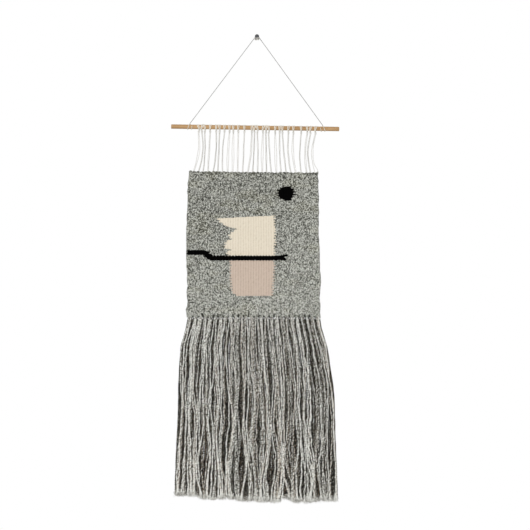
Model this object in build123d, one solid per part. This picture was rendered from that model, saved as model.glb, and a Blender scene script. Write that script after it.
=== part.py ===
from build123d import *

import math
import os

# Tapestry wall hanging. A wool panel with a long knotted fringe hangs by its cotton warp loops from a
# wooden dowel, and the dowel hangs by a cord over a wall nail.
#
# Millimetres. +Z is up, +X is to the right and -Y faces the room. The wall is the plane Y = 0, and the
# origin is on the nail's axis, where the nail enters the wall.
#
# Bodies and joints: the dowel and its cord sway about the nail (Y axis), the panel swings about the
# dowel's axis, and each tassel swings about the line of knots under the panel (X axis).

# ---- Driving dimensions ----
HANG_Y = -7.5  # middle plane of the dowel, panel and fringe, in front of the wall
RUNNING_GAP = 0.5  # clear space between pieces that move past each other

NAIL_R = 1.25
NAIL_OUT = 15.5  # shank length in front of the wall
NAIL_IN = 22.0  # straight shank inside the wall
NAIL_POINT = 3.5
NAIL_HEAD_R = 3.9
NAIL_HEAD_T = 1.3
GRIP_RINGS = 4
GRIP_PITCH = 1.4
GRIP_WIDTH = 0.8
GRIP_DEPTH = 0.25

DOWEL_R = 4.0
DOWEL_LENGTH = 305.0
DOWEL_MID_X = -3.3
DOWEL_MID_Z = -165.1
DOWEL_TILT = 0.85  # degrees, right end lower
DOWEL_CHAMFER = 0.6

CORD_R = 0.7
NAIL_TURN_R = 2.3  # centre line of the cord round the nail
DOWEL_TURN_R = 4.6  # centre line of the cord round the dowel
LEG_TURN_R = 20.0  # where a leg of the cord leaves its turns

WARP_R = 0.75
WARP_TURN_R = 5.25  # centre line of a warp loop round the dowel
WARP_CORNER_Y = 8.6  # corner of the loop's path, in front of and behind the dowel's axis
WARP_CORNER_Z = 5.3  # and above it
WARP_SPLIT_Y = 1.0  # half the distance between the two legs of a loop
KNOT_R = 1.9
KNOT_DROP = 9.8  # from the dowel's axis down to the knot
KNOT_TURN_R = 10.0
WARP_END_GAP = 0.3

WEAVE_THICK = 5.0
BRAID_PROUD = 1.5  # how far the black braid stands out of the weave
TOP_LEFT = (-123.5, -245.0)
LEFT_BULGE = (-126.9, -385.0)
BOTTOM_LEFT = (-126.0, -509.2)
BOTTOM_RIGHT = (114.0, -509.2)
RIGHT_BULGE = (114.9, -410.0)
TOP_RIGHT = (110.5, -247.8)

TASSELS = 26
FRINGE_HEAD_R = 3.8
FRINGE_HINGE_Z = BOTTOM_LEFT[1] - FRINGE_HEAD_R - RUNNING_GAP
# The fringe fans out as it falls: height, left edge, right edge, depth from front to back.
FRINGE_LEVELS = [
    (FRINGE_HINGE_Z, -126.0, 114.0, 7.4),
    (FRINGE_HINGE_Z - FRINGE_HEAD_R - RUNNING_GAP, -126.0, 114.0, 7.4),
    (-565.0, -138.5, 128.0, 9.0),
    (-640.0, -143.0, 139.5, 10.5),
    (-836.0, -148.5, 145.0, 11.5),
]
FRINGE_RAGGED = 5.0  # how unevenly the ends were cut
RAGGED_STEP = 2.4

# Where each warp loop sits on the dowel, spread out by hand as it was knotted.
WARP_TOPS = [-106, -100, -95, -85, -74, -68, -59, -50, -43, -34, -23, -9.5, -4.5]
WARP_TOPS += [0.5, 11, 16, 21, 33, 41, 46, 57, 66, 80, 91, 97, 106]
WARP_FOOT_LEFT = -117.0
WARP_FOOT_PITCH = 9.0

# The hanging cord, from its left end: two turns round the dowel, up over the nail, and two turns down.
CORD_ROUTE = [
    (-117.8, -12.3, -161.8),
    (-118.4, -12.3, -168.2),
    (-119.6, -2.7, -168.2),
    (-121.0, -2.7, -158.5),
    (-122.8, -12.3, -158.5),
    (-126.2, -12.3, -168.1),
    (-125.4, -2.7, -168.1),
    (-122.8, -2.7, -158.5),
    (0.0, -7.5, 3.9),
    (120.4, -2.7, -162.1),
    (123.0, -2.7, -171.8),
    (123.8, -12.3, -171.8),
    (120.4, -12.3, -162.1),
    (118.6, -2.7, -162.1),
    (117.2, -2.7, -171.7),
    (116.0, -12.3, -171.7),
    (115.4, -12.3, -165.2),
]

# Outlines of the coloured areas on the panel, as (x, z).
CREAM = [
    (-72, -329.5),
    (31.5, -324.5),
    (33.5, -360),
    (31.5, -397.7),
    (-52, -397.7),
    (-56, -391),
    (-46, -387),
    (-58, -383.5),
    (-57, -371),
    (-46, -367),
    (-51.5, -360),
    (-43.5, -353),
    (-37, -348.8),
    (-45, -347),
    (-55.5, -344),
    (-66, -337),
]
PINK = [
    (-49, -405.8),
    (31, -405.8),
    (30.5, -440),
    (27.5, -470),
    (-36, -470.5),
    (-46, -463),
    (-48.5, -430),
]
DOT = [
    (36.5, -285),
    (41, -276),
    (51, -271.5),
    (61, -271.5),
    (68, -279),
    (69.7, -286),
    (64, -292),
    (60, -297.5),
    (52, -298),
    (41.5, -293.5),
]
BRAID = [
    (-135, -387.3),
    (-91, -387.3),
    (-80, -397.7),
    (31.5, -397.7),
    (55.5, -396.3),
    (50, -400.8),
    (53, -404.7),
    (31, -405.8),
    (-49, -405.8),
    (-86, -407),
    (-89, -402.5),
    (-94, -401.5),
    (-98, -395.7),
    (-135, -395.7),
]


def dowel_z(x):
    """Height of the dowel's axis at x."""
    return DOWEL_MID_Z - (x - DOWEL_MID_X) * math.tan(math.radians(DOWEL_TILT))


def panel_top_z(x):
    """Height of the panel's top edge at x."""
    share = (x - TOP_LEFT[0]) / (TOP_RIGHT[0] - TOP_LEFT[0])
    return TOP_LEFT[1] + share * (TOP_RIGHT[1] - TOP_LEFT[1])


def tube(points, radii, tube_radius):
    """A round tube along straight runs joined by tangent arcs."""
    path = FilletPolyline(*points, radius=radii)
    section = Plane(origin=path @ 0, z_dir=path % 0) * Circle(tube_radius)
    return sweep(section, path=path), path


def ring_cut(y):
    """The ring that a grip groove takes out of the nail's shank, from y towards -Y."""
    plane = Plane(origin=(0, y, 0), z_dir=(0, -1, 0))
    outer = Circle(NAIL_R + GRIP_DEPTH)
    return extrude(plane * (outer - Circle(NAIL_R - GRIP_DEPTH)), GRIP_WIDTH)


def wall_nail():
    """A wire nail along Y, with grip rings on the shank and a flat head facing the room."""
    profile = [
        (0, NAIL_IN + NAIL_POINT),
        (NAIL_R, NAIL_IN),
        (NAIL_R, -NAIL_OUT),
        (NAIL_HEAD_R, -NAIL_OUT),
        (NAIL_HEAD_R, -NAIL_OUT - NAIL_HEAD_T * 0.6),
        (NAIL_HEAD_R * 0.8, -NAIL_OUT - NAIL_HEAD_T),
        (0, -NAIL_OUT - NAIL_HEAD_T),
    ]
    face = make_face(Polyline(*[(r, y, 0) for r, y in profile], close=True))
    nail = revolve(face, axis=Axis.Y)
    for ring in range(GRIP_RINGS):
        nail -= ring_cut(-ring * GRIP_PITCH)
    return nail


def dowel():
    """A round wooden rod with its ends chamfered, tilted a little."""
    rod = Cylinder(DOWEL_R, DOWEL_LENGTH)
    ends = rod.edges().filter_by(GeomType.CIRCLE)
    rod = chamfer(ends, DOWEL_CHAMFER)
    place = Location((DOWEL_MID_X, HANG_Y, DOWEL_MID_Z), (0, DOWEL_TILT, 0))
    return place * (Location((0, 0, 0), (0, 90, 0)) * rod)


def hanging_cord():
    """One cord with two turns round the dowel at each end, pulled tight over the nail."""
    radii = [DOWEL_TURN_R] * (len(CORD_ROUTE) - 2)
    nail_corner = len(CORD_ROUTE) // 2 - 1
    radii[nail_corner] = NAIL_TURN_R
    radii[nail_corner - 1] = LEG_TURN_R
    radii[nail_corner + 1] = LEG_TURN_R
    cord, path = tube(CORD_ROUTE, radii, CORD_R)
    section_area = math.pi * CORD_R**2
    print("cord radii", radii)
    print("cord length", round(path.length, 1), "tube volume / (section x length)",
          round(cord.volume / (section_area * path.length), 4))
    return cord


def warp_loop(top_x, foot_x):
    """A cotton warp pair: looped over the dowel, knotted under it, and down to the panel's top edge."""
    axis_z = dowel_z(top_x)
    knot_z = axis_z - KNOT_DROP
    foot_z = panel_top_z(foot_x) + WARP_END_GAP

    def side(sign):
        """Foot, knot and corner of one leg, in front of the dowel for -1 and behind it for +1."""
        return [
            (foot_x, HANG_Y + sign * WARP_SPLIT_Y, foot_z),
            (top_x, HANG_Y + sign * WARP_SPLIT_Y, knot_z),
            (top_x, HANG_Y + sign * WARP_CORNER_Y, axis_z + WARP_CORNER_Z),
        ]

    points = side(-1) + side(1)[::-1]
    loop, _ = tube(points, [KNOT_TURN_R, WARP_TURN_R, WARP_TURN_R, KNOT_TURN_R], WARP_R)
    return loop + Location((top_x, HANG_Y, knot_z)) * Sphere(KNOT_R)


def upright(outline):
    """A face in the plane Y = 0 from an outline of (x, z) points."""
    return make_face(Polyline(*[(x, 0, z) for x, z in outline], close=True))


def panel_face():
    """The panel's outline, with its gently bowed sides."""
    def corner(point):
        return (point[0], 0, point[1])

    edges = [
        Line(corner(TOP_RIGHT), corner(TOP_LEFT)),
        ThreePointArc(corner(TOP_LEFT), corner(LEFT_BULGE), corner(BOTTOM_LEFT)),
        Line(corner(BOTTOM_LEFT), corner(BOTTOM_RIGHT)),
        ThreePointArc(corner(BOTTOM_RIGHT), corner(RIGHT_BULGE), corner(TOP_RIGHT)),
    ]
    return make_face(edges)


def thicken(face, proud=0.0):
    """A plate of the weave's thickness, and proud of it at the front if that is asked."""
    back = HANG_Y + WEAVE_THICK / 2
    placed = Location((0, back, 0)) * face
    return extrude(placed, WEAVE_THICK + proud, dir=(0, -1, 0))


def woven_areas():
    """The ground weave and the coloured areas let into it, edge to edge."""
    whole = panel_face()
    cream = upright(CREAM)
    pink = upright(PINK)
    dot = upright(DOT)
    braid = upright(BRAID) & whole
    ground = whole - cream - pink - dot - braid
    return {
        "ground_weave": thicken(ground),
        "cream_block": thicken(cream),
        "pink_block": thicken(pink),
        "black_dot": thicken(dot),
        "black_line": thicken(braid, BRAID_PROUD),
    }


def tassel(number):
    """One rya knot and its hanging yarns, rounded about the line of knots so that it can swing."""
    end_drop = FRINGE_RAGGED * math.sin(number * RAGGED_STEP)
    sections = []
    for z, left, right, depth in FRINGE_LEVELS:
        pitch = (right - left) / TASSELS
        x = left + pitch * (number + 0.5)
        bottom = z == FRINGE_LEVELS[-1][0]
        plane = Plane(origin=(x, HANG_Y, z - end_drop * bottom), z_dir=(0, 0, 1))
        sections.append(plane * Rectangle(pitch - RUNNING_GAP, depth))
    yarns = loft(sections, ruled=True)
    _, left, right, _ = FRINGE_LEVELS[0]
    pitch = (right - left) / TASSELS
    head_x = left + pitch * (number + 0.5)
    head = Location((head_x, HANG_Y, FRINGE_HINGE_Z), (0, 90, 0)) * Cylinder(
        FRINGE_HEAD_R, pitch - RUNNING_GAP
    )
    return yarns + head


def main():
    nodes = {"wall_nail": wall_nail(), "dowel": dowel(), "hanging_cord": hanging_cord()}
    nodes |= woven_areas()
    for number, top_x in enumerate(WARP_TOPS):
        foot_x = WARP_FOOT_LEFT + WARP_FOOT_PITCH * number
        nodes[f"warp_loop_{number + 1:02d}"] = warp_loop(top_x, foot_x)
    for number in range(TASSELS):
        nodes[f"tassel_{number + 1:02d}"] = tassel(number)
    os.makedirs("parts", exist_ok=True)
    for name, shape in nodes.items():
        export_step(shape, f"parts/{name}.step")


main()
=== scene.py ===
import math

import bpy
import numpy as np
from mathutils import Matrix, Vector
from mathutils.bvhtree import BVHTree


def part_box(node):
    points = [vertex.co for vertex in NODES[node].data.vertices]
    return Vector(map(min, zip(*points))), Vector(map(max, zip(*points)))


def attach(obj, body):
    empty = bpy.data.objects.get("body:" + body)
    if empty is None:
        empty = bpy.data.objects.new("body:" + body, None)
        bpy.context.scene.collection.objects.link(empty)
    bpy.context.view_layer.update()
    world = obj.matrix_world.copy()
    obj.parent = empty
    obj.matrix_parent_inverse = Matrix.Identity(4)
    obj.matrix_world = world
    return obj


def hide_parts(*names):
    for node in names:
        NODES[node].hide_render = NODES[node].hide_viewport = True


# Tapestry wall hanging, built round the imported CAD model. Metres; +Z is up, +X is to the right and -Y
# faces the room. The origin is on the nail's axis, at the wall.

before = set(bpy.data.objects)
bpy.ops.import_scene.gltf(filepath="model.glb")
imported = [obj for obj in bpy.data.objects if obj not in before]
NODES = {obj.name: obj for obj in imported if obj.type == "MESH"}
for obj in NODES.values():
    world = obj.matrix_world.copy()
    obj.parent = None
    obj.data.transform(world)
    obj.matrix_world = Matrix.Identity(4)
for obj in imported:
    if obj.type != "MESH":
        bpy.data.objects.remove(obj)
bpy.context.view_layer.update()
MM = 0.001
TAU = 2 * math.pi

# ---- Camera ----
VIEW_WIDTH = 0.962  # what the frame shows across, at the panel
VIEW_CENTRE = (0.0145, -0.4142)
VIEW_DISTANCE = 5.0
SENSOR = 36.0
SURROUND = 1.0  # how bright the white surround looks
SURROUND_LIGHT = 0.36  # how much it lights
LIGHT_TARGET = (0, 0, -0.45)

# ---- Threads ----
END_TAPER = 0.35  # a tube's first and last rings are drawn in to this share
PLY_OFFSET = 0.48  # how far each ply's middle is from the yarn's, as a share of the yarn's radius
PLY_RADIUS = 0.56
FIBRE_STRETCH = 0.18  # how much the wool's texture is drawn out along a yarn
FIBRE_SHIFT = 0.37  # how far the texture moves on from one yarn to the next

# ---- Hanging cord ----
CORD_DIAMETER = 1.4 * MM
CORD_RINGS = 0.5 * MM
CORD_TWIST = 2.2 * MM
CORD_NEAR = 6.5 * MM  # closer to the dowel's axis than this, the cord is one of its wraps
# Painted light: the cord is drawn lighter and warmer where it wraps the dowel than on its legs.
WRAP_PAINTED_LIGHT_TONE = 0.95
LEG_TONE = 0.56
CORD_ROUTE = [
    (-0.1178, -0.0123, -0.1618), (-0.1184, -0.0123, -0.1682), (-0.1196, -0.0027, -0.1682),
    (-0.1210, -0.0027, -0.1585), (-0.1228, -0.0123, -0.1585), (-0.1262, -0.0123, -0.1681),
    (-0.1254, -0.0027, -0.1681), (-0.1228, -0.0027, -0.1585), (-0.1180, -0.0029, -0.1521),
    (-0.0050, -0.0073, -0.0029), (0.0000, -0.0075, 0.0039), (0.0050, -0.0073, -0.0030),
    (0.1155, -0.0029, -0.1553), (0.1204, -0.0027, -0.1621), (0.1230, -0.0027, -0.1718),
    (0.1238, -0.0123, -0.1718), (0.1204, -0.0123, -0.1621), (0.1186, -0.0027, -0.1621),
    (0.1172, -0.0027, -0.1717), (0.1160, -0.0123, -0.1717), (0.1154, -0.0123, -0.1652),
]
CORD_BAND = (3.3 * MM, 1.9 * MM)  # the band that gathers the cord: half its width and half its depth
CORD_BAND_TOP = -2.4 * MM
CORD_BAND_HEIGHT = 1.6 * MM
CORD_BAND_TURNS = 2.5
# The two loops under it, in mm: which side, height of the middle, half width.
CORD_LOOPS = [(-1, -4.7, 2.1), (1, -4.4, 1.7)]
CORD_LOOP_FRONT = 0.7  # how far they stand in front of the nail's head, in mm

# ---- Weave ----
RIBS = 52  # one for each warp thread
RIB_SAMPLES = 5
STITCH_HEIGHT = 2.4 * MM
STITCH_SAMPLES = 3
STITCH_REACH = 0.64  # how far a stitch's dome reaches sideways, in ribs
STITCH_RISE = 0.85  # how far it reaches up and down, in stitches
DIP = 0.42  # how far below a dome's crown the lowest places between domes are
RIB_DEPTH = 0.8 * MM  # from the crown of a stitch to the dips round it
RIB_LINE_PAINTED_SHADE = 0.19  # painted shade: in the one-coloured shapes the grooves between ribs are drawn darker, as fine lines
RIB_LINE_WIDTH = 0.3
PLAIN_TONE = 0.66
GROOVE_PAINTED_SHADE = 0.17  # painted shade: how much darker the dips between stitches are drawn
SPECKLE = 0.05  # how much the marled yarn's tone changes from stitch to stitch
FLECK = 0.08  # how much it changes from ply to ply within a stitch
BASE_TONE = 0.59
TONE_DOWN = 0.085  # how much lighter the cloth gets from its middle down
TONE_RIGHT = 0.03
ROW_STEP = 1.5 * MM  # the rows of a woven shape end a little further out and in by turns
EDGE_ROUND = 2.4 * MM
EDGE_LEFT_OVER = 0.3  # how much of the thickness is left at the very edge
EDGE_WANDER = 0.5 * MM  # how unevenly the two sides were beaten in
EDGE_FADE = 16 * MM
SIDE_SCALLOP = 0.4 * MM
# How far the two sides stand in from straight lines, at a few heights up the panel, in mm.
EDGE_LEVELS = [-0.509, -0.495, -0.48, -0.44, -0.37, -0.30, -0.245]
LEFT_EDGE = [-2.0, -2.5, 0.0, 0.0, -1.5, -1.0, 0.0]
RIGHT_EDGE = [2.0, 0.5, 0.5, 0.0, -2.0, -1.0, 0.5]
TOP_SCALLOP = 1.3 * MM
TOP_LIFT = 1.0 * MM
TOP_CORNER_LIFT = 1.5 * MM
TOP_CORNER_WIDTH = 8 * MM
SLIT_WIDTH = 1.15 * MM  # the slits between the knots run a little way up into the weave, sunk in and darkened with painted shade
SLIT_HEIGHTS = (2.5 * MM, 8.5 * MM)
# How dark the slits are drawn: painted shade.
SLIT_PAINTED_SHADE = 1.3
SLIT_DEPTH = 1.9 * MM
BOTTOM_OVERLAP = 0.7 * MM  # how far the last rows hang over the knots
CORNER_PINCH = 0.8 * MM  # the knots draw the bottom corners in
CORNER_HEIGHT = 5 * MM
CLOTH_WAVE = 0.5 * MM
ROW_WAVE = 0.5 * MM
GROUND_CUT = (0.240, 0.2642)

# ---- Black soumak braid ----
BRAID_RADIUS = 4.8 * MM
BRAID_PITCH = 11 * MM
BRAID_EDGE = 0.3 * MM  # the rope stands this much wider than the rows woven behind it
BRAID_FLATTEN = 0.62
BRAID_LINE = [(-0.1262, -0.3915), (-0.0960, -0.3915), (-0.0850, -0.4012), (0.0360, -0.4017)]
BRAID_PRONGS = [
    [(0.0330, -0.4000), (0.0440, -0.3982), (0.0560, -0.3962)],
    [(0.0330, -0.4030), (0.0430, -0.4036), (0.0530, -0.4040)],
]
PRONG_RADIUS = 2.5 * MM
PRONG_PITCH = 9 * MM
BRAID_TONE = 0.5

# ---- Warp loops ----
WARP_RADIUS = 0.78 * MM
WARP_TWIST = 4.5 * MM
WARP_RING = 1.0 * MM
WARP_KNOT_DROP = 9.8 * MM
WARP_KNOT_RADIUS = 1.6 * MM
WARP_KNOT_TURNS = 2.6
WARP_CLOSE = 0.7 * MM  # half way between a pair's threads, at both ends
# Painted light: the threads are drawn lighter and warmer where they lie on the dowel as bands than on their
# legs.
BAND_PAINTED_LIGHT_TONE = 0.94
WARP_TONE = 0.62
WARP_KNOT_TONE = 0.66
BAND_GAP = 1.8 * MM  # between the two bands of a loop, under the dowel
BAND_SPLAY = 0.5 * MM
BAND_NEAR = 1.0 * MM  # a thread this close to the dowel is a band on it
WARP_TUCK = 3.0 * MM  # how far a warp's foot runs on inside the weave
LAST_KINK = 4.5 * MM  # the last warp's back thread stands out sideways just above the weave
LAST_KINK_AT = 0.10
LAST_KINK_WIDTH = 0.13
# How far each pair bows sideways half way down, and how far apart its two threads stand there.
WARP_BOWS = [5, 5, 2, 0, 2.5, 0, -2.2, -1, 0, 0, 0, 2, 0.5, 1, -1, 0, -0.7, -0.5, -1.4, -0.6]
WARP_BOWS += [-3, -3.5, -2.5, -3.6, -5.4, -6.5]
WARP_SPREADS = [2.6, 1.2, 1.2, 1.8, 1.3, 1.2, 1.2, 3.0, 3.4, 1.9, 1.3, 2.0, 1.2, 1.6, 3.2, 1.6]
WARP_SPREADS += [1.4, 3.6, 1.3, 1.5, 1.8, 2.8, 1.2, 2.2, 1.6, 2.4]
# How far each loop's front bands lean, from the dowel's bottom to its top.
WARP_LEANS = [-3.5, 3.5, -3, 1, 0.5, -0.5, 0.5, -0.5, 0.4, 0.6, -0.6, 0.8, 3, -3, 2.6, -1]
WARP_LEANS += [-2.6, 0.6, -0.5, 0.5, 0.8, 0.4, -0.4, -1, 2.4, 1.5]

# ---- Fringe ----
TASSELS = 26
FRINGE_RING = 2.2 * MM
FRINGE_TWIST = 8 * MM
KNOT_BAR_RADIUS = 1.25 * MM
KNOT_RISE = (1.0 * MM, 4.5 * MM)  # how far up the weave's face the front yarns start
KNOT_LAP = 6 * MM  # how far down they come off it again
TIP_FIBRES = 13
TIP_RADIUS = 0.45 * MM
TIP_LENGTH = 8 * MM
TIP_TONE = 0.40  # the cut ends are fluffed out and lighter
TIP_FADE = 9 * MM  # how far up the yarns that goes
# Where the fringe was cut: places across and heights, in mm.
FRINGE_EDGE = [(-147, -829), (-114, -829), (-90, -836), (-55, -833), (-27, -838), (38, -840), (49, -835),
               (72, -841), (94, -841), (114, -838)]
CUT_UNEVEN = (-3.5, 3.0)  # how far single yarns end above and below that, in mm
GATHER = 0.64  # how closely the yarns are drawn together in the knot
SPILL = 1.2  # how far they spread once they hang free
SIDE_SPILL = 0.75  # the same for the first and the last tassel
SPILL_LIMIT = 1.5
SIDE_SPILL_LIMIT = 0.95
# How the fringe parts into clumps: each wave's size, spacing across, slant down and start.
DRIFT_WAVES = [(2.4 * MM, 0.031, 1.4, 0.0), (2.2 * MM, 0.057, -1.9, 1.3), (0.9 * MM, 0.0173, 3.1, 0.4)]
DRIFT_REACH = 0.138  # the fringe's clumps drift less and less towards this distance from its middle
DRIFT_MARGIN = 0.035
HIDDEN_DRIFT = 0.35  # the yarns behind follow it less, so that no wall shows between the clumps
LOOSE_BELOW = 0.12  # the share of its length in which a tassel comes loose under its knot
CLUMP_WAVES = [(0.38, (0.5, 1.4)), (0.16, (1.5, 3.0))]  # size, and fewest and most cycles
YARN_WAVES = [(0.16, (1.0, 2.6)), (0.09, (5, 9)), (0.06, (12, 20))]
YARN_DRIFT = 0.30
# The two layers of yarns in sight in one tassel: places across (-1 to 1) with depths (-1 at the front),
# least and greatest radius, tones, and how freely the yarns wander.
SEEN_LAYERS = [
    ([(-0.52, -0.95), (0.48, -1.0)], (1.05 * MM, 1.4 * MM), [0.98, 0.92, 0.86, 0.76, 0.62], 1.0),
    # This layer's near-black tones are painted shade, the dark of the gaps between the yarns in front.
    ([(-0.95, -0.50), (-0.05, -0.60), (0.90, -0.45), (0.25, -0.40)], (1.0 * MM, 1.4 * MM),
     [0.0, 0.05, 0.14, 0.28, 0.45, 0.66], 0.9),
]
# The two layers behind them, with one radius and a range of tones each.
HIDDEN_LAYERS = [
    # The near-black tones of this first layer behind are painted shade deep inside the fringe.
    ([(-0.80, 0.0), (-0.28, 0.1), (0.26, 0.0), (0.80, 0.1)], 2.0 * MM, (0.0, 0.10), 0.25),
    ([(-0.72, 0.85), (-0.24, 0.95), (0.24, 0.82), (0.72, 0.92)], 1.8 * MM, (0.4, 0.75), 0.35),
]
FREE_YARN = 0.5  # the yarns in sight wander more freely than this
STRAY_SHARE = 0.4  # how many tassels have a yarn that has strayed across its neighbours
STRAY_PLACES = (-0.3, 0.3)
STRAY_REACH = [-1.3, 1.3]
STRAY_RADIUS = 1.05 * MM
STRAY_TONE = 0.92

# ---- Tones, from dark to light ----
# The top stops of the cord and warp ramps serve the painted light on the wraps and bands on the dowel.
CORD_TONES = [(0.0, (40, 40, 40)), (0.3, (140, 140, 139)), (0.7, (190, 190, 188)), (1.0, (255, 248, 230))]
WARP_TONES = [(0.1, (186, 184, 178)), (0.5, (222, 221, 216)), (0.8, (246, 244, 240)), (1.0, (255, 251, 236))]
GREY_TONES = [(0.0, (48, 48, 42)), (0.35, (118, 119, 111)), (0.65, (162, 163, 155)), (1.0, (206, 207, 199))]
# The dark ends of the cream and pink ramps are there for the painted shade in their grooves and slits.
CREAM_TONES = [(0.0, (160, 146, 124)), (0.55, (230, 219, 199)), (1.0, (242, 234, 218))]
PINK_TONES = [(0.0, (128, 108, 94)), (0.55, (202, 183, 167)), (1.0, (222, 206, 192))]
BLACK_TONES = [(0.0, (0, 0, 0)), (0.5, (2, 2, 2)), (1.0, (7, 7, 7))]
# The fringe ramp's near-black end serves the painted shade of its dark yarns.
FRINGE_TONES = [(0.0, (11, 10, 8)), (0.3, (84, 79, 68)), (0.6, (154, 153, 144)), (0.95, (243, 243, 238))]
# The brown tint in the fringe's dark yarns is partly brownish wool and partly the brownish colour of painted
# shade between them.
BROWN_TINT = (1.0, 0.78, 0.62)  # linear colours that multiply the tone's own
OLIVE_TINT = (1.0, 0.98, 0.88)

# ---- Floor ----
FLOOR_Z = -1.0
FLOOR_RADIUS = 0.85


def srgb(red, green, blue):
    """A linear colour from 0 to 255 display values."""
    shares = [value / 255 for value in (red, green, blue)]
    return [s / 12.92 if s <= 0.04045 else ((s + 0.055) / 1.055) ** 2.4 for s in shares] + [1.0]


# ---- Camera and light ----
def make_camera():
    data = bpy.data.cameras.new("camera")
    data.sensor_width = SENSOR
    data.lens = SENSOR * VIEW_DISTANCE / VIEW_WIDTH
    data.clip_end = 50
    camera = bpy.data.objects.new("camera", data)
    middle_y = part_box("ground_weave")[0].y / 2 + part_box("ground_weave")[1].y / 2
    camera.location = (VIEW_CENTRE[0], middle_y - VIEW_DISTANCE, VIEW_CENTRE[1])
    camera.rotation_euler = (math.pi / 2, 0, 0)
    bpy.context.collection.objects.link(camera)
    bpy.context.scene.camera = camera


def area_light(name, place, size, watts):
    data = bpy.data.lights.new(name, "AREA")
    data.shape = "DISK"
    data.size = size
    data.energy = watts
    light = bpy.data.objects.new(name, data)
    light.location = place
    light.rotation_euler = (Vector(LIGHT_TARGET) - Vector(place)).to_track_quat("-Z", "Y").to_euler()
    bpy.context.collection.objects.link(light)


def make_lights():
    """A white surround that lights softly, a large lamp at the upper left, and weak ones right and behind."""
    world = bpy.data.worlds.new("studio")
    world.use_nodes = True
    nodes, links = world.node_tree.nodes, world.node_tree.links
    nodes.clear()
    output = nodes.new("ShaderNodeOutputWorld")
    path = nodes.new("ShaderNodeLightPath")
    mix = nodes.new("ShaderNodeMixShader")
    links.new(path.outputs["Is Camera Ray"], mix.inputs["Fac"])
    for socket, strength in ((mix.inputs[1], SURROUND_LIGHT), (mix.inputs[2], SURROUND)):
        white = nodes.new("ShaderNodeBackground")
        white.inputs["Color"].default_value = (1, 1, 1, 1)
        white.inputs["Strength"].default_value = strength
        links.new(white.outputs["Background"], socket)
    links.new(mix.outputs["Shader"], output.inputs["Surface"])
    bpy.context.scene.world = world
    area_light("key_light", (-1.3, -2.6, 0.9), 1.2, 58)
    area_light("fill_light", (1.8, -2.4, -0.4), 1.6, 14)
    area_light("back_light", (0.6, 2.4, 0.6), 1.6, 30)
    bpy.context.scene.view_settings.view_transform = "Standard"


# ---- Mesh helpers ----
def mesh_piece(name, parts, material):
    """A smooth mesh piece from points, quads, tones and the coordinates that its fibres follow."""
    points, quads, tone, fibre = parts
    mesh = bpy.data.meshes.new(name)
    mesh.vertices.add(len(points))
    mesh.vertices.foreach_set("co", np.asarray(points, np.float32).ravel())
    mesh.loops.add(quads.size)
    mesh.loops.foreach_set("vertex_index", quads.ravel().astype(np.int32))
    mesh.polygons.add(len(quads))
    mesh.polygons.foreach_set("loop_start", np.arange(0, quads.size, 4, dtype=np.int32))
    mesh.polygons.foreach_set("use_smooth", np.ones(len(quads), bool))
    for label, kind, field, values in (("tone", "FLOAT", "value", tone),
                                       ("fibre", "FLOAT_VECTOR", "vector", fibre)):
        attribute = mesh.attributes.new(label, kind, "POINT")
        attribute.data.foreach_set(field, np.asarray(values, np.float32).ravel())
    mesh.update(calc_edges=True)
    mesh.validate()
    mesh.materials.append(material)
    piece = bpy.data.objects.new(name, mesh)
    bpy.context.collection.objects.link(piece)
    return piece


def join(parts):
    """One set of points, quads, tones and fibre coordinates from several."""
    points, quads, tone, fibre = zip(*parts)
    starts = np.cumsum([0] + [len(group) for group in points])
    quads = [group + start for group, start in zip(quads, starts)]
    return tuple(np.concatenate(groups) for groups in (points, quads, tone, fibre))


def unit(vectors):
    return vectors / np.maximum(np.linalg.norm(vectors, axis=-1, keepdims=True), 1e-12)


def side_frames(lines, side):
    """Two directions across each line of (lines, rings, 3), the first one as near to side as it can be."""
    tangent = unit(np.gradient(lines, axis=1))
    side = np.broadcast_to(side, lines.shape)
    across = unit(side - (side * tangent).sum(-1, keepdims=True) * tangent)
    return across, np.cross(tangent, across)


def carried_frames(line):
    """Two directions across one line of (rings, 3), carried along it without twisting."""
    tangent = unit(np.gradient(line, axis=0))
    across = np.empty_like(line)
    side = np.array([0.0, 0.0, 1.0])
    for ring, direction in enumerate(tangent):
        side = side - direction * side.dot(direction)
        side /= np.linalg.norm(side)
        across[ring] = side
    return across[None], np.cross(tangent, across)[None]


def distances(lines):
    """How far along its line each ring of (lines, rings, 3) is."""
    steps = np.linalg.norm(np.diff(lines, axis=1), axis=-1)
    return np.concatenate([np.zeros((len(lines), 1)), np.cumsum(steps, axis=1)], axis=1)


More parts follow.
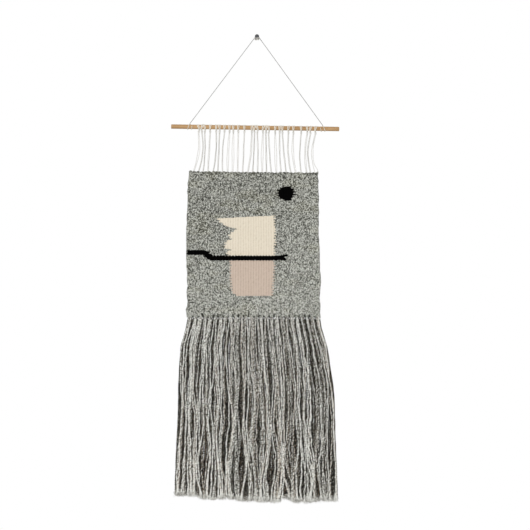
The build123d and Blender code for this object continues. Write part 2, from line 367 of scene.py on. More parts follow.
def tubes(lines, radius, frames, sides, tone, seed):
    """Closed round tubes along lines of (lines, rings, 3), with a radius and a tone for every ring."""
    count, rings, _ = lines.shape
    radius = np.broadcast_to(radius, (count, rings)).copy()
    radius[:, [0, -1]] *= END_TAPER
    angle = TAU * np.arange(sides) / sides
    across, behind = frames
    spoke = (across[:, :, None] * np.cos(angle)[:, None] + behind[:, :, None] * np.sin(angle)[:, None])
    points = lines[:, :, None] + spoke * radius[:, :, None, None]
    index = np.arange(count * rings * sides).reshape(count, rings, sides)
    ahead = np.roll(index, -1, axis=2)
    walls = np.stack([index[:, :-1], ahead[:, :-1], ahead[:, 1:], index[:, 1:]], axis=-1)
    first, last = index[:, 0], index[:, -1]
    caps = []
    for k in range(1, sides - 2, 2):
        caps.append(np.stack([first[:, 0], first[:, k + 2], first[:, k + 1], first[:, k]], axis=-1))
        caps.append(np.stack([last[:, 0], last[:, k], last[:, k + 1], last[:, k + 2]], axis=-1))
    quads = np.concatenate([walls.reshape(-1, 4), np.concatenate(caps)])
    shift = seed + np.arange(count)[:, None, None] * FIBRE_SHIFT
    fibre = np.stack(np.broadcast_arrays(
        radius[:, :, None] * np.cos(angle) + shift,
        radius[:, :, None] * np.sin(angle),
        distances(lines)[:, :, None] * FIBRE_STRETCH,
    ), axis=-1)
    tone = np.repeat(np.broadcast_to(tone, (count, rings)), sides)
    return points.reshape(-1, 3), quads, tone, fibre.reshape(-1, 3)


def two_ply(lines, radius, frames, pitch, sides, tone, contrast, seed, phase=0.0):
    """Yarns of two plies twisted round each other, along lines of (lines, rings, 3)."""
    radius = np.broadcast_to(radius, lines.shape[:2])
    across, behind = frames
    plies = []
    for ply in range(2):
        turn = (TAU * distances(lines) / pitch + math.pi * ply + np.reshape(phase, (-1, 1)))[..., None]
        centre = lines + PLY_OFFSET * radius[..., None] * (across * np.cos(turn) + behind * np.sin(turn))
        shade = tone + contrast * (ply - 0.5)
        plies.append(tubes(centre, PLY_RADIUS * radius, frames, sides, shade, seed + ply * 5.1))
    return join(plies)


def spaced(points, step):
    """The polyline through the points, resampled evenly."""
    points = np.asarray(points, float)
    steps = np.linalg.norm(np.diff(points, axis=0), axis=1)
    along = np.concatenate([[0.0], np.cumsum(steps)])
    even = np.linspace(0, along[-1], max(3, round(along[-1] / step)))
    return np.stack([np.interp(even, along, points[:, axis]) for axis in range(3)], axis=1)


def smooth(line, rounds):
    """The line with its corners eased, its ends kept."""
    line = line.copy()
    for _ in range(rounds):
        line[1:-1] = 0.25 * line[:-2] + 0.5 * line[1:-1] + 0.25 * line[2:]
    return line


# ---- Materials ----
class Look:
    """A material while it is being built, with short ways to add its nodes."""

    def __init__(self, name, roughness, sheen=0.0, specular=0.25, metallic=0.0):
        self.material = bpy.data.materials.new(name)
        self.material.use_nodes = True
        self.link = self.material.node_tree.links.new
        self.shader = self.material.node_tree.nodes["Principled BSDF"].inputs
        for socket, value in (("Roughness", roughness), ("Sheen Weight", sheen), ("Sheen Roughness", 0.5),
                              ("Specular IOR Level", specular), ("Metallic", metallic)):
            self.shader[socket].default_value = value

    def add(self, kind, **inputs):
        node = self.material.node_tree.nodes.new("ShaderNode" + kind)
        for name, value in inputs.items():
            node.inputs[name.replace("_", " ")].default_value = value
        return node

    def attribute(self, name):
        node = self.add("Attribute")
        node.attribute_name = name
        return node

    def place(self):
        return self.add("TexCoord").outputs["Object"]

    def stretched(self, coordinates, scale):
        node = self.add("Mapping", Scale=scale)
        self.link(coordinates, node.inputs["Vector"])
        return node.outputs["Vector"]

    def math(self, operation, first, second):
        """A Math node of two inputs, each a socket or a number."""
        node = self.add("Math")
        node.operation = operation
        for socket, value in zip(node.inputs, (first, second)):
            if isinstance(value, (int, float)):
                socket.default_value = value
            else:
                self.link(value, socket)
        return node.outputs[0]

    def noise(self, coordinates, **settings):
        texture = self.add("TexNoise", **settings)
        self.link(coordinates, texture.inputs["Vector"])
        return texture.outputs["Fac"]

    def ramp(self, factor, stops):
        node = self.add("ValToRGB")
        elements = node.color_ramp.elements
        while len(elements) < len(stops):
            elements.new(0.5)
        for element, (place, colour) in zip(elements, stops):
            element.position = place
            element.color = srgb(*colour)
        self.link(factor, node.inputs["Fac"])
        return node.outputs["Color"]

    def tinted(self, colour, shade, coordinates, tint, scale, amount):
        """The colour with patches of a tint in it, strongest in dark yarns: wool of several fleeces, and in
        the fringe partly the brownish colour of the painted shade between its yarns.
        """
        share = self.add("MapRange", From_Min=0.5, From_Max=0.66, To_Max=amount)
        self.link(self.noise(coordinates, Scale=scale, Detail=1.0), share.inputs["Value"])
        mix = self.add("Mix")
        mix.data_type = "RGBA"
        mix.blend_type = "MULTIPLY"
        factor, first, second = mix.inputs[0], mix.inputs[6], mix.inputs[7]
        depth = self.math("SUBTRACT", 1.15, shade)
        self.link(self.math("MULTIPLY", share.outputs["Result"], depth), factor)
        self.link(colour, first)
        second.default_value = (*tint, 1.0)
        return mix.outputs[2]

    def finish(self, colour, height, rough, change, bump, depth):
        """The finished material: its colour, a roughness that changes with the height, and the bump."""
        self.link(colour, self.shader["Base Color"])
        self.link(self.math("ADD", self.math("MULTIPLY", height, change), rough), self.shader["Roughness"])
        relief = self.add("Bump", Strength=bump, Distance=depth)
        self.link(height, relief.inputs["Height"])
        self.link(relief.outputs["Normal"], self.shader["Normal"])
        return self.material


def yarn_material(name, stops, sheen=0.15, mottle=0.3, marl=0.0, marl_scale=450.0, stretch=5.5, tint=None,
                  specular=0.25):
    """Spun yarn: its tone along the yarn, streaks of fibre that also make its bump, and marled flecks."""
    look = Look(name, 0.85, sheen, specular)
    fibre = look.attribute("fibre").outputs["Vector"]
    streaks = look.noise(fibre, Scale=2600.0, Detail=3.0, Roughness=0.6)
    patches = look.noise(fibre, Scale=650.0, Detail=2.0, Roughness=0.5)
    uneven = look.math("SUBTRACT", look.math("ADD", streaks, patches), 1.0)
    shade = look.math("ADD", look.attribute("tone").outputs["Fac"], look.math("MULTIPLY", uneven, mottle))
    if marl:
        flecks = look.add("TexVoronoi", Scale=marl_scale)
        look.link(look.stretched(fibre, (1.0, 1.0, stretch)), flecks.inputs["Vector"])
        split = look.add("SeparateColor")
        look.link(flecks.outputs["Color"], split.inputs["Color"])
        spread = look.math("SUBTRACT", split.outputs[0], 0.5)
        shade = look.math("ADD", shade, look.math("MULTIPLY", spread, marl))
    colour = look.ramp(shade, stops)
    if tint:
        colour = look.tinted(colour, shade, fibre, *tint)
    return look.finish(colour, streaks, rough=0.75, change=0.2, bump=0.5, depth=0.25 * MM)


def wood_material():
    """Pale turned wood: long grain along the rod, fine pores and a soft satin finish."""
    look = Look("dowel_wood", 0.55)
    along = look.stretched(look.place(), (0.06, 1.0, 1.0))
    grain = look.noise(along, Scale=700.0, Detail=6.0, Roughness=0.65)
    broad = look.noise(along, Scale=120.0, Detail=2.0)
    mixed = look.math("ADD", look.math("MULTIPLY", grain, 0.65), look.math("MULTIPLY", broad, 0.35))
    stops = [(0.3, (142, 106, 68)), (0.46, (184, 146, 102)), (0.6, (206, 169, 124)), (0.75, (220, 190, 148))]
    return look.finish(look.ramp(mixed, stops), grain, rough=0.4, change=0.3, bump=0.35, depth=0.2 * MM)


def steel_material():
    """Dark bright-drawn wire, scuffed on the head."""
    look = Look("nail_steel", 0.35, specular=0.5, metallic=1.0)
    scuffs = look.noise(look.place(), Scale=900.0, Detail=5.0, Roughness=0.7)
    stops = [(0.3, (52, 52, 54)), (0.6, (104, 105, 108)), (0.8, (136, 136, 138))]
    return look.finish(look.ramp(scuffs, stops), scuffs, rough=0.2, change=0.4, bump=0.2, depth=0.1 * MM)


def floor_material():
    look = Look("studio_floor", 0.8)
    cloud = look.noise(look.place(), Scale=3.0, Detail=3.0)
    look.link(look.ramp(cloud, [(0.3, (226, 225, 222)), (0.7, (234, 233, 230))]), look.shader["Base Color"])
    return look.material


# ---- Hanging cord ----
def dowel_axis(x):
    """The dowel's axis at x, as (y, z); the rod is level but for its small tilt."""
    low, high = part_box("dowel")
    diameter = high.y - low.y
    slope = (high.z - low.z - diameter) / (high.x - low.x)
    return (low.y + high.y) / 2, (low.z + high.z) / 2 - slope * (x - (low.x + high.x) / 2)


def route_line(route):
    """The smooth line of a cord's route: a NURBS spline with the route's points as control points."""
    curve = bpy.data.curves.new("cord_route", "CURVE")
    curve.dimensions = "3D"
    spline = curve.splines.new("NURBS")
    spline.points.add(len(route) - 1)
    for point, place in zip(spline.points, route):
        point.co = (*place, 1.0)
    spline.order_u = 3
    spline.use_endpoint_u = True
    spline.resolution_u = 16
    carrier = bpy.data.objects.new("cord_route", curve)
    bpy.context.collection.objects.link(carrier)
    bpy.context.view_layer.update()
    mesh = bpy.data.meshes.new_from_object(carrier)
    line = np.array([vertex.co[:] for vertex in mesh.vertices])
    bpy.data.objects.remove(carrier)
    bpy.data.curves.remove(curve)
    bpy.data.meshes.remove(mesh)
    return line


def make_cord(material):
    line = spaced(route_line(CORD_ROUTE), CORD_RINGS)
    radius = CORD_DIAMETER / 2
    axis_y, axis_z = dowel_axis(line[:, 0])
    on_dowel = np.hypot(line[:, 1] - axis_y, line[:, 2] - axis_z) < CORD_NEAR
    # Painted light: the wraps on the dowel get a lighter tone than the legs.
    tone = np.where(on_dowel, WRAP_PAINTED_LIGHT_TONE, LEG_TONE)
    parts = two_ply(line[None], radius, carried_frames(line), CORD_TWIST, 6, tone, 0.08, 3.0)
    cord = mesh_piece("hanging_cord_twist", parts, material)
    knot = make_cord_knot(material)
    for piece in (cord, knot):
        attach(piece, "hanger")
    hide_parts("hanging_cord")


def make_cord_knot(material):
    """The small knot that gathers the cord under the nail: a band, two short loops, and a dark strand in each
    loop that is painted shadow.
    """
    axis_y = dowel_axis(0)[0]
    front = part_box("wall_nail")[0].y / MM - CORD_LOOP_FRONT
    share = np.linspace(0, 1, 70)
    wrap = TAU * CORD_BAND_TURNS * share
    sweep = TAU * share
    lines = [np.stack([CORD_BAND[0] * np.cos(wrap), axis_y + CORD_BAND[1] * np.sin(wrap),
                       CORD_BAND_TOP - CORD_BAND_HEIGHT * share], axis=1)]
    for side, middle, wide in CORD_LOOPS:
        loop = [side * 2.1 + wide * np.sin(sweep), front + 0.3 * np.cos(sweep), middle + 2.0 * np.cos(sweep)]
        # A dark strand inside each loop, painted shadow.
        inside = [side * 1.9 + 0.5 * np.sin(3 * sweep), front + 0.3 * np.cos(3 * sweep),
                  middle + 1.1 * np.cos(sweep)]
        lines += [np.stack(loop, axis=1) * MM, np.stack(inside, axis=1) * MM]
    lines = np.stack(lines)
    # The two thin 0.1 strands are the painted shadow inside the loops.
    radii = np.array([0.66, 0.66, 0.5, 0.66, 0.5])[:, None] * MM
    tones = np.array([0.62, 0.8, 0.1, 0.8, 0.1])[:, None]
    parts = tubes(lines, radii, side_frames(lines, np.array([0.1, 1.0, 0.2])), 8, tones, 9.0)
    return mesh_piece("cord_knot", parts, material)


# ---- Weave ----
AREAS = ["black_line", "black_dot", "cream_block", "pink_block", "ground_weave"]


def search_tree(name):
    """A tree for casting rays at a CAD solid."""
    mesh = NODES[name].data
    return BVHTree.FromPolygons([v.co for v in mesh.vertices], [tuple(p.vertices) for p in mesh.polygons])


def first_hit(trees, start, direction):
    """The nearest point where a ray meets any of the solids, or None."""
    hits = [tree.ray_cast(Vector(start), Vector(direction)) for tree in trees]
    found = [(distance, place) for place, _, _, distance in hits if place is not None]
    return min(found)[1] if found else None


def panel_edges(trees, heights):
    """The panel's left and right edges at each height, read from the CAD solids."""
    solids = list(trees.values())
    low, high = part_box("ground_weave")
    middle_y = (low.y + high.y) / 2
    inset = 0.2 * MM
    left, right = [], []
    for height in heights:
        z = min(max(height, low.z + inset), high.z - 4 * MM)
        left.append(first_hit(solids, (low.x - 0.05, middle_y, z), (1, 0, 0)).x)
        right.append(first_hit(solids, (high.x + 0.05, middle_y, z), (-1, 0, 0)).x)
    return np.array(left), np.array(right)


def panel_top(trees, x):
    """The height of the panel's top edge at x."""
    low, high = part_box("ground_weave")
    x = min(max(x, low.x + 4.5 * MM), high.x - 5.5 * MM)
    return first_hit([trees["ground_weave"]], (x, (low.y + high.y) / 2, high.z + 0.01), (0, 0, -1)).z


class Weave:
    """The panel as one grid of points, front and back, pebbled with stitches set like bricks."""

    def __init__(self, trees, knots):
        low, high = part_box("ground_weave")
        self.rows = round((high.z - low.z) / STITCH_HEIGHT)
        self.across = RIBS * RIB_SAMPLES
        self.down = self.rows * STITCH_SAMPLES
        rng = np.random.default_rng(11)
        column = np.arange(self.across + 1)
        row = np.arange(self.down + 1)
        self.place(trees, low, high, column, row)
        height, stitch, rib, fleck = self.domes(column / RIB_SAMPLES, row / STITCH_SAMPLES, rng)
        dip = np.clip((1 - height) / DIP, 0, 1.6)
        slit = self.slits(knots, rng)
        thick = (high.y - low.y) / 2
        half = (thick - RIB_DEPTH * dip - SLIT_DEPTH * slit) * self.edge_round()
        self.front = np.stack([self.x, self.middle - half, self.z], axis=-1)
        self.back = np.stack([self.x, self.middle + half, self.z], axis=-1)
        self.tone = self.tones(rng)[stitch, rib]
        self.tone = self.tone + rng.normal(0, FLECK, (2, self.rows + 1, RIBS))[fleck, stitch, rib]
        # Painted shade: the dips between stitches and the slits between the knots are drawn darker.
        self.tone = self.tone - GROOVE_PAINTED_SHADE * dip - SLIT_PAINTED_SHADE * slit
        # Painted shade along the grooves between ribs, in the one-coloured shapes.
        groove = np.exp(-((1 - np.abs(2 * (column / RIB_SAMPLES % 1) - 1)) / RIB_LINE_WIDTH) ** 2)
        self.plain_tone = PLAIN_TONE + 0.25 * (self.tone - BASE_TONE) - RIB_LINE_PAINTED_SHADE * groove[None, :]
        self.owner = self.owners(trees, rng)

    def domes(self, u, v, rng):
        """The height of every grid point, with the stitch, rib and ply that are uppermost there."""
        shape = (len(v), len(u))
        u, v = np.broadcast_to(u[None, :], shape), np.broadcast_to(v[:, None], shape)
        fullness = rng.normal(1.0, 0.07, (self.rows + 1, RIBS))
        shift = rng.normal(0.0, 0.09, (2, self.rows + 1, RIBS))
        best = np.zeros(shape)
        stitch_of, rib_of, ply_of = (np.zeros(shape, int) for _ in range(3))
        for step in (-1, 0, 1):
            rib = np.clip(np.floor(u).astype(int) + step, 0, RIBS - 1)
            brick = 0.5 * (rib % 2)
            stitch = np.clip(np.floor(v + brick).astype(int), 0, self.rows)
            across = u - rib - 0.5 + shift[0, stitch, rib]
            down = v + brick - stitch - 0.5 + shift[1, stitch, rib]
            inside = 1 - (across / STITCH_REACH) ** 2 - (down / STITCH_RISE) ** 2
            height = np.sqrt(np.clip(inside, 0, 1)) * fullness[stitch, rib]
            higher = height > best
            best[higher] = height[higher]
            stitch_of[higher] = stitch[higher]
            rib_of[higher] = rib[higher]
            ply_of[higher] = (across + 0.35 * down > 0)[higher]
        return best, stitch_of, rib_of, ply_of

    def slits(self, knots, rng):
        """How deep each grid point lies in the slits between the knots under the weave."""
        deep = np.zeros(self.x.shape)
        for gap in (knots[1:] + knots[:-1]) / 2:
            reach = rng.uniform(*SLIT_HEIGHTS)
            above = self.z - self.z[-1:]
            depth = np.clip(1.8 * (1.15 - above / reach), 0, 1)
            lean = rng.uniform(-0.12, 0.12) * above
            deep = np.maximum(deep, depth * np.exp(-(((self.x - gap - lean) / SLIT_WIDTH) ** 2)))
        return deep

    def place(self, trees, low, high, column, row):
        """Where each grid point lies in the panel's plane."""
        share_across = column / self.across
        share_down = row / self.down
        tops = np.array([panel_top(trees, low.x + (high.x - low.x) * share) for share in share_across])
        heights = high.z + (low.z - high.z) * share_down
        left, right = panel_edges(trees, heights)
        self.x = left[:, None] + (right - left)[:, None] * share_across[None, :]
        self.z = tops[None, :] + (low.z - BOTTOM_OVERLAP - tops)[None, :] * share_down[:, None]
        self.ease_edges(row, column)
        inner = np.sin(math.pi * share_down)[:, None] ** 0.5
        self.z = self.z + ROW_WAVE * inner * np.sin(TAU * (self.x / 0.083 + self.z / 0.21))
        self.x = self.x + 0.4 * ROW_WAVE * np.sin(TAU * (self.z / 0.061 + self.x / 0.047))
        wave = np.sin(TAU * (self.x / 0.19 + 0.2)) * np.sin(TAU * (self.z / 0.17))
        self.middle = (low.y + high.y) / 2 + CLOTH_WAVE * wave

    def ease_edges(self, row, column):
        """Uneven, scalloped sides, a scalloped top, and bottom corners drawn in."""
        rng = np.random.default_rng(23)
        down = np.linspace(0, 1, len(row))
        level = self.z[:, len(column) // 2]
        pinch = CORNER_PINCH * np.exp((level[-1] - level) / CORNER_HEIGHT)
        scallop = SIDE_SCALLOP * np.abs(np.sin(math.pi * row / STITCH_SAMPLES))
        for side, inward, shape in ((0, 1, LEFT_EDGE), (-1, -1, RIGHT_EDGE)):
            bumps = rng.normal(0, 1, self.rows // 3 + 2)
            wander = EDGE_WANDER * np.interp(down * (len(bumps) - 1), np.arange(len(bumps)), bumps)
            shift = inward * (pinch - scallop) + wander + np.interp(level, EDGE_LEVELS, shape) * MM
            fade = np.exp(-np.abs(self.x - self.x[:, [side]]) / EDGE_FADE)
            self.x = self.x + shift[:, None] * fade
        crown = np.abs(np.sin(math.pi * (column / RIB_SAMPLES) / 1.5))
        lift = np.interp(column / RIB_SAMPLES, np.arange(RIBS + 1), rng.normal(0, 0.35, RIBS + 1))
        from_corner = np.minimum(self.x[0] - self.x[0, 0], self.x[0, -1] - self.x[0])
        corner = TOP_CORNER_LIFT * np.exp(-((from_corner / TOP_CORNER_WIDTH) ** 2))
        edge = TOP_SCALLOP * (crown - 0.6 + lift)
        near_top = np.exp(-(self.z[:1] - self.z) / (2 * STITCH_HEIGHT))
        near_end = np.exp(-(self.z - self.z[-1:]) / (2 * STITCH_HEIGHT))
        self.z = self.z + (edge + corner + TOP_LIFT)[None, :] * near_top - 0.5 * edge[None, :] * near_end

    def edge_round(self):
        """How much of the cloth's thickness is left close to its four edges."""
        width = self.x[:, -1:] - self.x[:, :1]
        side = np.minimum(self.x - self.x[:, :1], self.x[:, :1] + width - self.x)
        end = np.minimum(self.z[:1] - self.z, self.z - self.z[-1:])
        rounding = 1.0
        for distance in (side, end):
            short = np.clip(1 - distance / EDGE_ROUND, 0, 1)
            rounding = rounding * (EDGE_LEFT_OVER + (1 - EDGE_LEFT_OVER) * np.sqrt(1 - short**2))
        return rounding

    def tones(self, rng):
        """A tone for each stitch; the cloth lightens downwards and to the right."""
        speckle = rng.normal(0, SPECKLE, (self.rows + 1, RIBS))
        down = np.linspace(-1, 1, self.rows + 1)[:, None]
        right = np.linspace(-1, 1, RIBS)[None, :]
        tone = BASE_TONE + speckle + TONE_DOWN * down + TONE_RIGHT * right
        tone[:2] -= 0.10 + 0.10 * rng.random((2, RIBS))
        return tone

    def owners(self, trees, rng):
        """Which area each quad belongs to; the areas' edges step from row to row."""
        turn = ROW_STEP * (2 * (np.arange(self.rows) % 2) - 1) + rng.normal(0, 0.4 * ROW_STEP, self.rows)
        wobble = np.repeat(turn, STITCH_SAMPLES)[:, None]
        x = (self.x[:-1, :-1] + self.x[1:, 1:]) / 2 + wobble
        z = (self.z[:-1, :-1] + self.z[1:, 1:]) / 2
        owner = np.full(x.shape, len(AREAS) - 1)
        for area in range(len(AREAS) - 2, -1, -1):
            low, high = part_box(AREAS[area])
            inside = (x > low.x) & (x < high.x) & (z > low.z) & (z < high.z)
            for place in map(tuple, np.argwhere(inside)):
                start = Vector((x[place], low.y - 0.05, z[place]))
                edge = Vector((0, 0, BRAID_EDGE if AREAS[area] == "black_line" else 0))
                if all(trees[AREAS[area]].ray_cast(start + step, Vector((0, 1, 0)))[0]
                       for step in (edge, -edge)):
                    owner[place] = area
        return owner

    def shell(self, name):
        """The closed shell of one area: points, quads, tones and fibre coordinates."""
        chosen = self.owner == AREAS.index(name)
        index = np.arange(self.front.shape[0] * self.front.shape[1]).reshape(self.front.shape[:2])
        offset = index.size
        corners = [index[1:, :-1], index[1:, 1:], index[:-1, 1:], index[:-1, :-1]]
        front = np.stack([corner[chosen] for corner in corners], axis=-1)
        back = front[:, ::-1] + offset
        framed = np.pad(chosen, 1)
        beyond = [framed[2:, 1:-1], framed[1:-1, 2:], framed[:-2, 1:-1], framed[1:-1, :-2]]
        walls = []
        for side, neighbour in enumerate(beyond):
            open_side = chosen & ~neighbour
            start = corners[side][open_side]
            end = corners[(side + 1) % 4][open_side]
            walls.append(np.stack([end, start, start + offset, end + offset], axis=-1))
        quads = np.concatenate([front, back] + walls)
        used, quads = np.unique(quads, return_inverse=True)
        points = np.concatenate([self.front.reshape(-1, 3), self.back.reshape(-1, 3)])[used]
        shade = self.plain_tone if name in ("cream_block", "pink_block") else self.tone
        tone = np.concatenate([shade.ravel(), shade.ravel()])[used]
        fibre = np.stack([points[:, 2], points[:, 1], points[:, 0] * 0.45], axis=1)
        area = chosen.mean() * GROUND_CUT[0] * GROUND_CUT[1]
        return (points, quads.reshape(-1, 4), tone, fibre), area


def braid_parts():
    """The raised black soumak: a flattened rope along its stepped line, parting into two tips."""
    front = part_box("ground_weave")[0].y
    flatten = np.array([1.0, BRAID_FLATTEN, 1.0])
    sideways = np.array([0.0, 1.0, 0.0])

    def flat_rope(route, radius, pitch, seed):
        line = smooth(spaced([(x, 0.0, z) for x, z in route], 1.2 * MM), 12)[None]
        parts = two_ply(line, radius, side_frames(line, sideways), pitch, 10, BRAID_TONE, 0.2, seed)
        return (parts[0] * flatten + np.array([0, front, 0]), *parts[1:])

    ropes = [flat_rope(BRAID_LINE, BRAID_RADIUS, BRAID_PITCH, 1.0)]
    for number, prong in enumerate(BRAID_PRONGS):
        ropes.append(flat_rope(prong, PRONG_RADIUS, PRONG_PITCH, 4.0 + number))
    return ropes


def make_weave(trees, looks, knots):
    """Every woven area, with the braid on the black line; returns the pieces and each one's area."""
    weave = Weave(trees, knots)
    slots = {"ground_weave": "grey_wool", "cream_block": "cream_wool", "pink_block": "pink_wool",
             "black_dot": "black_wool", "black_line": "black_wool"}
    pieces, areas = {}, {}
    for name, slot in slots.items():
        parts, areas[name] = weave.shell(name)
        if name == "black_line":
            parts = join([parts] + braid_parts())
        piece = mesh_piece(f"{name}_cloth", parts, looks[slot])
        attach(piece, "panel")
        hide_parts(name)
        pieces[name] = piece
    return pieces, areas


# ---- Warp loops ----
def warp_paths(number, tops, feet, foot_z, rng):
    """One warp thread: up from the weave, twice round the dowel and down again; and its knot's wraps."""
    low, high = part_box("dowel")
    wrap = (high.y - low.y) / 2 + WARP_RADIUS
    top_x, foot_x = tops[number], feet[number]
    axis_y, axis_z = dowel_axis(top_x)
    knot_z = axis_z - WARP_KNOT_DROP
    bow = WARP_BOWS[number] * MM
    spread = WARP_SPREADS[number] * MM / 2
    lean = WARP_LEANS[number] * MM
    last = number == len(tops) - 1

    def leg(sign):
        """Foot to knot, bowed sideways; the front thread for -1 and the back one for +1."""
        share = np.linspace(0, 1, 45)
        swell = np.sin(math.pi * share)
        wander = 0.3 * MM * swell * np.sin(TAU * (share * rng.uniform(1.2, 2.4) + rng.uniform()))
        x = foot_x + (top_x - foot_x) * share + bow * swell + wander
        x = x + sign * (WARP_CLOSE + (spread - WARP_CLOSE) * swell)
        if last and sign > 0:
            x = x + LAST_KINK * np.exp(-(((share - LAST_KINK_AT) / LAST_KINK_WIDTH) ** 2))
        y = axis_y + sign * (0.4 + 0.5 * swell) * MM
        return np.stack([x, y, foot_z + (knot_z - foot_z) * share], axis=1)

    turns = np.linspace(0.12, 1.88, 110)
    angle = TAU * turns
    apart = np.tanh(6 * (turns - 1)) * (BAND_GAP + BAND_SPLAY * (1 - np.cos(angle))) / 2
    around = np.stack([
        top_x + apart - lean * np.cos(angle) * 0.5,
        axis_y - wrap * np.sin(angle),
        axis_z - wrap * np.cos(angle),
    ], axis=1)
    thread = np.concatenate([leg(-1), around, leg(1)[::-1]])
    turn = np.linspace(0, WARP_KNOT_TURNS, 40)
    flare = 1 - 0.3 * turn / WARP_KNOT_TURNS
    knot = np.stack([
        top_x + 1.25 * WARP_KNOT_RADIUS * flare * np.cos(TAU * turn),
        axis_y - WARP_KNOT_RADIUS * flare * np.sin(TAU * turn),
        knot_z + (2.4 - 3.6 * turn / WARP_KNOT_TURNS) * MM,
    ], axis=1)
    return thread, knot


def make_warps(trees, material):
    rng = np.random.default_rng(5)
    dowel_radius = (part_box("dowel")[1].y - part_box("dowel")[0].y) / 2
    count = len(WARP_BOWS)
    tops, feet = [], []
    for number in range(count):
        points = np.array([vertex.co[:] for vertex in NODES[f"warp_loop_{number + 1:02d}"].data.vertices])
        order = np.argsort(points[:, 2])
        tops.append(points[order[-20:], 0].mean())
        feet.append(points[order[:20], 0].mean())
    pieces = []
    for number in range(count):
        foot_z = panel_top(trees, feet[number]) - WARP_TUCK
        thread, knot = warp_paths(number, tops, feet, foot_z, rng)
        parts = []
        axis_y, axis_z = dowel_axis(tops[number])
        reach = WARP_RADIUS + dowel_radius + BAND_NEAR
        for line, seed, plain in ((thread, 1.0, WARP_TONE), (knot, 2.0, WARP_KNOT_TONE)):
            line = smooth(spaced(line, WARP_RING), 3)
            on_dowel = np.hypot(line[:, 1] - axis_y, line[:, 2] - axis_z) < reach
            # Painted light: the bands on the dowel get a lighter tone than the legs.
            tone = np.where(on_dowel, BAND_PAINTED_LIGHT_TONE, plain + rng.normal(0, 0.04))
            parts.append(two_ply(line[None], WARP_RADIUS, carried_frames(line), WARP_TWIST, 6, tone, 0.1,
                                 seed + number))
        parts = join(parts)
        name = f"warp_loop_{number + 1:02d}"
        piece = mesh_piece(f"{name}_thread", parts, material)
        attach(piece, "panel")
        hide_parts(name)
        pieces.append(piece)
    return pieces


# ---- Fringe ----
def tassel_frame(name, levels):
    """A tassel's middle, half width and half depth at each level, read from its CAD solid."""
    tree = search_tree(name)
    low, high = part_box(name)
    axis_y = (low.y + high.y) / 2
    middle, half_width, half_depth = [], [], []
    for z in levels:
        level = min(max(z, low.z + MM), high.z - 2 * MM)
        left = tree.ray_cast(Vector((low.x - 0.01, axis_y, level)), Vector((1, 0, 0)))[0].x
        right = tree.ray_cast(Vector((high.x + 0.01, axis_y, level)), Vector((-1, 0, 0)))[0].x
        middle.append((left + right) / 2)
        front = tree.ray_cast(Vector((middle[-1], low.y - 0.01, level)), Vector((0, 1, 0)))[0].y
        half_width.append((right - left) / 2)
        half_depth.append(axis_y - front)
    return np.array(middle), np.array(half_width), np.array(half_depth), axis_y


def knot_places():
    """Where across the panel each tassel's knot is."""
    names = [f"tassel_{number + 1:02d}" for number in range(TASSELS)]
    return np.array([tassel_frame(name, [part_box(name)[1].z])[0][0] for name in names])


def fringe_drift(x, share):
    """How far the whole fringe has drifted sideways at x, which parts it into clumps lower down."""
    drift = sum(size * np.sin(TAU * (x / spacing + slant * share) + start)
                for size, spacing, slant, start in DRIFT_WAVES)
    room = np.clip((DRIFT_REACH - np.abs(x)) / DRIFT_MARGIN, 0, 1)
    return drift * np.clip(1.25 * share - 0.08, 0, 1) * room


def yarn_plan(rng):
    """Each yarn of a tassel: place across, depth, radius, tone, how freely it wanders, how far it strays."""
    plan = []
    for yarns, radii, tones, free in SEEN_LAYERS:
        for place, depth in yarns:
            plan.append((place, depth, rng.uniform(*radii), rng.choice(tones), free, 0.0))
    if rng.random() < STRAY_SHARE:
        place, reach = rng.uniform(*STRAY_PLACES), rng.choice(STRAY_REACH)
        plan.append((place, -1.0, STRAY_RADIUS, STRAY_TONE, 1.0, reach))
    for yarns, radius, tones, free in HIDDEN_LAYERS:
        for place, depth in yarns:
            plan.append((place, depth, radius, rng.uniform(*tones), free, 0.0))
    return plan


def fringe_ends(x):
    """The height of the fringe's cut edge at x."""
    places, heights = zip(*FRINGE_EDGE)
    return np.interp(x, np.array(places) * MM, np.array(heights) * MM)


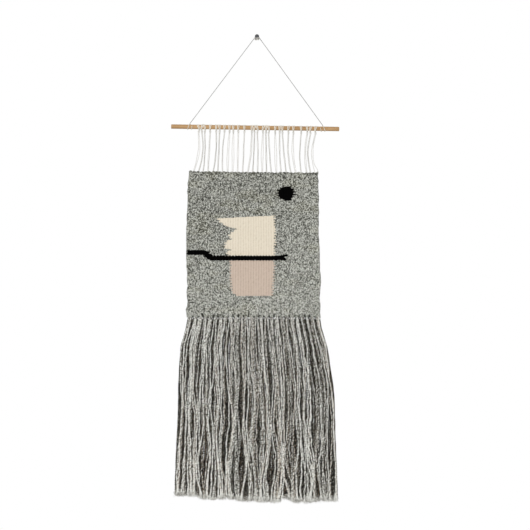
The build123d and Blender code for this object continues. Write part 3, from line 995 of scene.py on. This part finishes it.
def make_tassel(number, material):
    """One rya knot: a yarn bar over the front, and the cut ends of the folded yarns hanging from it."""
    rng = np.random.default_rng(100 + number)
    weave_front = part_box("ground_weave")[0].y
    name = f"tassel_{number + 1:02d}"
    low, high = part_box(name)
    top = high.z - 1.6 * MM
    rings = round((top - low.z) / FRINGE_RING)
    share = np.linspace(0, 1, rings)
    levels = top + (low.z - top) * share
    middle, half_width, half_depth, axis_y = tassel_frame(name, levels[::8])
    middle, half_width, half_depth = [
        np.interp(share, share[::8], values) for values in (middle, half_width, half_depth)]
    loose = np.clip(share / LOOSE_BELOW, 0, 1)
    on_side = number in (0, TASSELS - 1)
    spill, limit = (SIDE_SPILL, SIDE_SPILL_LIMIT) if on_side else (SPILL, SPILL_LIMIT)

    def wave(cycles):
        """A slow wave down the yarn, with a random number of cycles and start."""
        return np.sin(TAU * (share * rng.uniform(*cycles) + rng.uniform()))

    clumps = [sum(size * loose * wave(cycles) for size, cycles in CLUMP_WAVES) for _ in range(2)]
    lines, radii, tones = [], [], []
    for place, depth, radius, tone, free, stray in yarn_plan(rng):
        seen = free > FREE_YARN
        drift = rng.normal(0, YARN_DRIFT) * share**1.4 + stray * share**3
        own = sum(size * wave(cycles) for size, cycles in YARN_WAVES)
        clump = clumps[int(place > 0)]
        gathered = GATHER + (spill - GATHER) * loose if seen else 1.0
        across = place * gathered + free * (clump + drift + loose * own)
        x = middle + half_width * np.clip(across, -limit, limit)
        y = axis_y + (half_depth - radius) * np.clip(depth + 0.12 * wave((0.7, 1.8)), -1.05, 1.05)
        rise = rng.uniform(*KNOT_RISE) if seen else 0.0
        length = top + rise - fringe_ends(x[-1]) + rng.uniform(*CUT_UNEVEN) * MM
        z = top + rise - length * share
        lap = np.clip((z - high.z + KNOT_LAP) / KNOT_LAP, 0, 1) * seen
        y = y + (weave_front - 0.45 * radius - y) * lap
        follow = 1.0 if seen else HIDDEN_DRIFT
        lines.append(np.stack([x + follow * fringe_drift(x, share), y, z], axis=1))
        fluff = np.exp(-length * (1 - share) / TIP_FADE)
        radii.append(radius * (1 + 0.07 * wave((8, 12))) * (1 + 0.45 * share**2 + 0.25 * fluff))
        tones.append(tone + 0.05 * wave((3, 6)) + TIP_TONE * fluff)
    lines, radii, tones = np.array(lines), np.array(radii), np.array(tones)
    frames = side_frames(lines, np.array([1.0, 0.0, 0.0]))
    phase = rng.uniform(0, TAU, len(lines))
    parts = [two_ply(lines, radii, frames, FRINGE_TWIST, 5, tones, 0.24, number * 7.3, phase)]
    parts.append(tip_fibres(lines[:, -1], radii[:, -1], tones[:, -1], rng))
    parts.append(knot_bar(middle[0], half_width[0], axis_y, high.z + rng.normal(0, 0.8) * MM, number, rng))
    parts = join(parts)
    piece = mesh_piece(f"{name}_yarns", parts, material)
    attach(piece, name)
    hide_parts(name)
    return piece


def tip_fibres(ends, radii, tones, rng):
    """Short untwisted fibres where each yarn was cut."""
    count = len(ends) * TIP_FIBRES
    base = np.repeat(ends, TIP_FIBRES, axis=0)
    spread = rng.normal(0, 0.6, (count, 2)) * np.repeat(radii, TIP_FIBRES)[:, None]
    fan = rng.normal(0, 2.6, (count, 2)) * MM
    length = TIP_LENGTH * rng.uniform(0.4, 1.0, count)
    share = np.linspace(0, 1, 5)[None, :]
    x = base[:, :1] + spread[:, :1] + fan[:, :1] * share**1.5
    y = base[:, 1:2] + spread[:, 1:] + fan[:, 1:] * share**1.5
    z = base[:, 2:] + 3 * MM - length[:, None] * share
    lines = np.stack([x, y, z], axis=-1)
    frames = side_frames(lines, np.array([1.0, 0.0, 0.0]))
    tone = np.maximum(np.repeat(tones, TIP_FIBRES) + 0.1, 0.7)[:, None]
    return tubes(lines, TIP_RADIUS * (1 - 0.6 * share), frames, 4, tone, 7.0)


def knot_bar(middle, half_width, axis_y, top, number, rng):
    """The yarn that lies across the front of the knot and turns in behind it at both ends."""
    sweep = np.linspace(-1, 1, 15)
    reach = half_width - KNOT_BAR_RADIUS * 0.9
    line = np.stack([
        middle + reach * np.sin(sweep * math.pi / 2),
        axis_y - 2.4 * MM + 2.6 * MM * sweep**4,
        top - KNOT_BAR_RADIUS - 0.9 * MM * np.abs(sweep) ** 3 + rng.uniform(-1.3, 1.3) * MM * sweep,
    ], axis=1)[None]
    frames = side_frames(line, np.array([0.0, 1.0, 0.0]))
    # Painted shade: the bar is drawn darker than the yarns that hang from it, against the light it catches
    # from above.
    return two_ply(line, KNOT_BAR_RADIUS, frames, 5 * MM, 7, rng.uniform(0.3, 0.55), 0.3, 40.0 + number)


# ---- The whole hanging ----
def dress_node(name, material):
    """Give a CAD node that stays its finished material."""
    node = NODES[name]
    if not node.material_slots:
        node.data.materials.append(material)
    for slot in node.material_slots:
        slot.material = material


def make_floor():
    bpy.ops.mesh.primitive_circle_add(vertices=96, radius=FLOOR_RADIUS, fill_type="NGON",
                                      location=(0, 0, FLOOR_Z))
    floor = bpy.context.object
    floor.name = "studio_floor"
    floor.data.materials.append(floor_material())


def make_looks():
    return {
        "cord_cotton": yarn_material("cord_cotton", CORD_TONES, sheen=0.1, mottle=0.1),
        "warp_cotton": yarn_material("warp_cotton", WARP_TONES, sheen=0.1, mottle=0.1),
        "grey_wool": yarn_material("grey_wool", GREY_TONES, marl=1.35, marl_scale=780.0, stretch=2.2,
                                   tint=(OLIVE_TINT, 60.0, 1.0)),
        "cream_wool": yarn_material("cream_wool", CREAM_TONES, mottle=0.15),
        "pink_wool": yarn_material("pink_wool", PINK_TONES, mottle=0.15),
        "black_wool": yarn_material("black_wool", BLACK_TONES, sheen=0.0, specular=0.04),
        "fringe_wool": yarn_material("fringe_wool", FRINGE_TONES, marl=0.95, marl_scale=560.0,
                                     tint=(BROWN_TINT, 9.0, 1.2)),
    }


make_camera()
looks = make_looks()
make_cord(looks["cord_cotton"])
make_lights()
make_floor()
dress_node("wall_nail", steel_material())
dress_node("dowel", wood_material())
trees = {name: search_tree(name) for name in AREAS}
cloth, cloth_area = make_weave(trees, looks, knot_places())
warps = make_warps(trees, looks["warp_cotton"])
tassels = [make_tassel(number, looks["fringe_wool"]) for number in range(TASSELS)]
